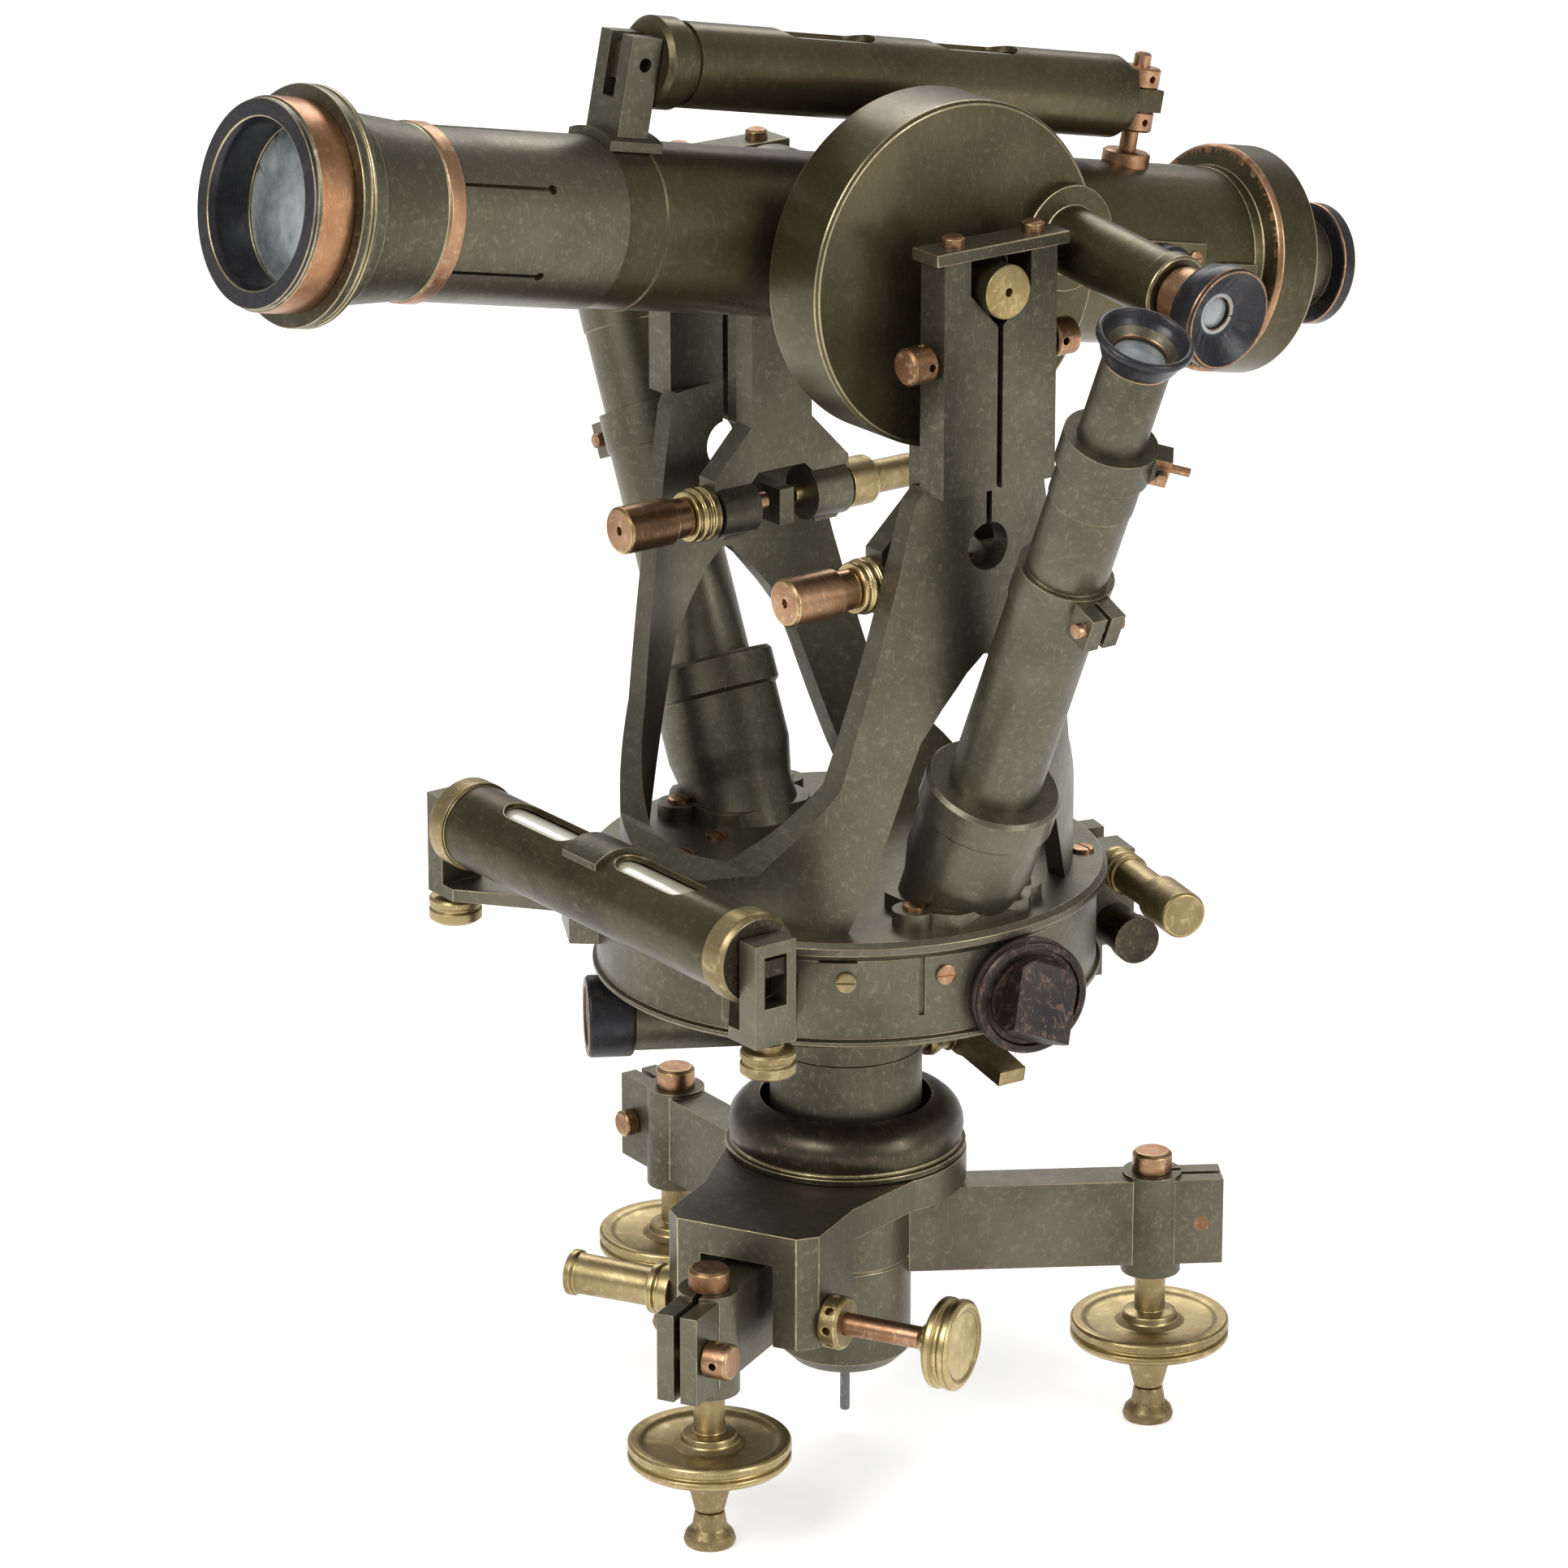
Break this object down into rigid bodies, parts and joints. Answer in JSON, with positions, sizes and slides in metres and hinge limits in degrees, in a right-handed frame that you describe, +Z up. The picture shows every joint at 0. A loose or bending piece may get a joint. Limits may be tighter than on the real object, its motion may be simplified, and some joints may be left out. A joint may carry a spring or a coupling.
{
  "type": "theodolite",
  "caption": "Tilting telescope on two arched standards over a round plate housing with slanted microscopes, spirit levels and a three-armed base on screw feet.",
  "frame": {"origin": "on the vertical axis, at the plane the feet stand on", "axes": "+Z up along the vertical axis, +X towards the standard with the circle drum, -Y towards the objective"},
  "size_m": [0.2304, 0.3009, 0.3475],
  "materials": {
    "patina": "dark olive patina, worn to bright metal on edges",
    "blackened": "blackened metal, half gloss",
    "raw_brass": "dull polished brass",
    "copper": "reddish worn brass",
    "steel": "brushed",
    "glass": "clear"
  },
  "bodies": {
    "base": {"tribrach": "patina", "foot_caps_and_screws": "copper", "plumb_pin": "steel"},
    "lower_clamp_body": {"lower_clamp": "patina", "lower_nut_and_barrel": "raw_brass"},
    "lower_screw": {"lower_tangent_screw": "raw_brass"},
    "circle": {"circle_axis": "patina", "dust_collar": "blackened", "horizontal_circle": "raw_brass"},
    "key": {"lever_key": "raw_brass"},
    "alidade": {"plate_housing": "patina", "bottom_cover": "patina", "tangent_bracket": "patina", "light_socket": "patina", "standards": "patina", "bearing_caps": "patina", "block_screws": "copper", "near_microscope_base": "patina", "near_microscope_tube": "patina", "far_microscope_base": "patina", "far_microscope_tube": "patina", "plate_level_tube": "patina", "plate_level_vial": "glass", "plate_level_strap": "patina", "plate_level_mounts": "patina", "plate_level_knobs": "raw_brass"},
    "upper_clamp_body": {"upper_clamp": "patina"},
    "upper_head": {"upper_clamp_head": "blackened"},
    "upper_screw": {"upper_tangent_screw": "raw_brass"},
    "hood": {"light_hood": "blackened"},
    "near_eye": {"near_microscope_eyepiece": "blackened"},
    "far_eye": {"far_microscope_eyepiece": "blackened"},
    "telescope": {"main_tube": "patina", "vertical_circle": "raw_brass", "slit_sleeve": "patina", "rear_drum": "patina", "side_flange": "patina", "scope_level_tube": "patina", "scope_level_vial": "glass", "scope_level_mounts": "copper"},
    "objective": {"objective_bell": "patina", "objective_bezel": "blackened", "objective_lens": "glass"},
    "eyepiece": {"scope_eyepiece": "blackened"},
    "index": {"drum_casing": "patina", "index_arm": "patina", "index_collar_plunger": "raw_brass", "vertical_microscope": "patina"},
    "index_screw": {"index_tangent_screw": "copper"},
    "vertical_eye": {"vertical_eyepiece": "blackened"},
    "clamp": {"clamp_arm": "patina", "clamp_collar_plunger": "raw_brass"},
    "clamp_screw": {"clamp_tangent_screw": "copper"},
    "foot_tip_1": {"foot_tip_1": "raw_brass"},
    "foot_screw_1": {"foot_screw_1": "raw_brass"},
    "foot_tip_2": {"foot_tip_2": "raw_brass"},
    "foot_screw_2": {"foot_screw_2": "raw_brass"},
    "foot_tip_3": {"foot_tip_3": "raw_brass"},
    "foot_screw_3": {"foot_screw_3": "raw_brass"}
  },
  "joints": [
    {"name": "foot_1_travel", "type": "slide", "parent": "base", "child": "foot_tip_1", "axis": [0, 0, 1], "range_m": [-0.00225, 0.00225]},
    {"name": "foot_1_turn", "type": "hinge", "parent": "foot_tip_1", "child": "foot_screw_1", "pos_m": [0.03826, 0.06099, 0.03], "axis": [0, 0, 1], "range_deg": [-1080, 1080]},
    {"name": "foot_2_travel", "type": "slide", "parent": "base", "child": "foot_tip_2", "axis": [0, 0, 1], "range_m": [-0.00225, 0.00225]},
    {"name": "foot_2_turn", "type": "hinge", "parent": "foot_tip_2", "child": "foot_screw_2", "pos_m": [0.03369, -0.06363, 0.03], "axis": [0, 0, 1], "range_deg": [-1080, 1080]},
    {"name": "foot_3_travel", "type": "slide", "parent": "base", "child": "foot_tip_3", "axis": [0, 0, 1], "range_m": [-0.00225, 0.00225]},
    {"name": "foot_3_turn", "type": "hinge", "parent": "foot_tip_3", "child": "foot_screw_3", "pos_m": [-0.07195, 0.00264, 0.03], "axis": [0, 0, 1], "range_deg": [-1080, 1080]},
    {"name": "lower_swing", "type": "hinge", "parent": "base", "child": "lower_clamp_body", "pos_m": [0, 0, 0.068], "axis": [0, 0, 1], "range_deg": [-1.5, 1.5]},
    {"name": "lower_screw_turn", "type": "hinge", "parent": "lower_clamp_body", "child": "lower_screw", "pos_m": [0.0234, -0.04419, 0.05], "axis": [0.8838, 0.4679, 0], "range_deg": [-1000, 1000]},
    {"name": "circle_turn", "type": "hinge", "parent": "base", "child": "circle", "pos_m": [0, 0, 0.07], "axis": [0, 0, 1], "continuous": true},
    {"name": "key_turn", "type": "hinge", "parent": "circle", "child": "key", "pos_m": [0.00105, 0.01997, 0.0931], "axis": [0.0523, 0.9986, 0], "range_deg": [-35, 35]},
    {"name": "alidade_turn", "type": "hinge", "parent": "circle", "child": "alidade", "pos_m": [0, 0, 0.12], "axis": [0, 0, 1], "continuous": true},
    {"name": "upper_swing", "type": "hinge", "parent": "alidade", "child": "upper_clamp_body", "pos_m": [0, 0, 0.106], "axis": [0, 0, 1], "range_deg": [-1.5, 1.5]},
    {"name": "upper_screw_turn", "type": "hinge", "parent": "alidade", "child": "upper_screw", "pos_m": [0.01548, 0.0621, 0.135], "axis": [0.9703, -0.2419, 0], "range_deg": [-1000, 1000]},
    {"name": "upper_head_turn", "type": "hinge", "parent": "upper_clamp_body", "child": "upper_head", "pos_m": [-0.025, -0.0433, 0.106], "axis": [-0.5, -0.866, 0], "range_deg": [-90, 90]},
    {"name": "hood_turn", "type": "hinge", "parent": "alidade", "child": "hood", "pos_m": [0.0635, 0.004, 0.127], "axis": [0.9659, -0.2588, 0], "range_deg": [-60, 60]},
    {"name": "near_focus", "type": "slide", "parent": "alidade", "child": "near_eye", "axis": [0.4051, 0, 0.9143], "range_m": [0, 0.004]},
    {"name": "far_focus", "type": "slide", "parent": "alidade", "child": "far_eye", "axis": [-0.4051, 0, 0.9143], "range_m": [0, 0.004]},
    {"name": "telescope_turn", "type": "hinge", "parent": "alidade", "child": "telescope", "pos_m": [0, 0, 0.2897], "axis": [-1, 0, 0], "range_deg": [-56.5, 213.5]},
    {"name": "objective_draw", "type": "slide", "parent": "telescope", "child": "objective", "axis": [0, -0.9799, 0.1994], "range_m": [0, 0.012]},
    {"name": "eyepiece_focus", "type": "slide", "parent": "telescope", "child": "eyepiece", "axis": [0, -0.9799, 0.1994], "range_m": [0, 0.005]},
    {"name": "index_swing", "type": "hinge", "parent": "alidade", "child": "index", "pos_m": [0, 0, 0.2897], "axis": [1, 0, 0], "range_deg": [-1.5, 1.5]},
    {"name": "index_screw_turn", "type": "hinge", "parent": "index", "child": "index_screw", "pos_m": [0.035, -0.03, 0.221], "axis": [0, -1, 0], "range_deg": [-1000, 1000]},
    {"name": "vertical_focus", "type": "slide", "parent": "index", "child": "vertical_eye", "axis": [0.9889, 0.053, -0.1385], "range_m": [0, 0.003]},
    {"name": "clamp_swing", "type": "hinge", "parent": "alidade", "child": "clamp", "pos_m": [0, 0, 0.2897], "axis": [1, 0, 0], "range_deg": [-1.5, 1.5]},
    {"name": "clamp_screw_turn", "type": "hinge", "parent": "clamp", "child": "clamp_screw", "pos_m": [-0.028, -0.03, 0.222], "axis": [0, -1, 0], "range_deg": [-1000, 1000]}
  ],
  "couplings": [
    {"joint": "foot_1_travel", "follows": "foot_1_turn", "m_per_rad": 0.000119},
    {"joint": "foot_2_travel", "follows": "foot_2_turn", "m_per_rad": 0.000119},
    {"joint": "foot_3_travel", "follows": "foot_3_turn", "m_per_rad": 0.000119},
    {"joint": "lower_swing", "follows": "lower_screw_turn", "ratio": 0.00149},
    {"joint": "upper_swing", "follows": "upper_screw_turn", "ratio": 0.00149},
    {"joint": "index_swing", "follows": "index_screw_turn", "ratio": 0.00149},
    {"joint": "clamp_swing", "follows": "clamp_screw_turn", "ratio": 0.00149}
  ]
}
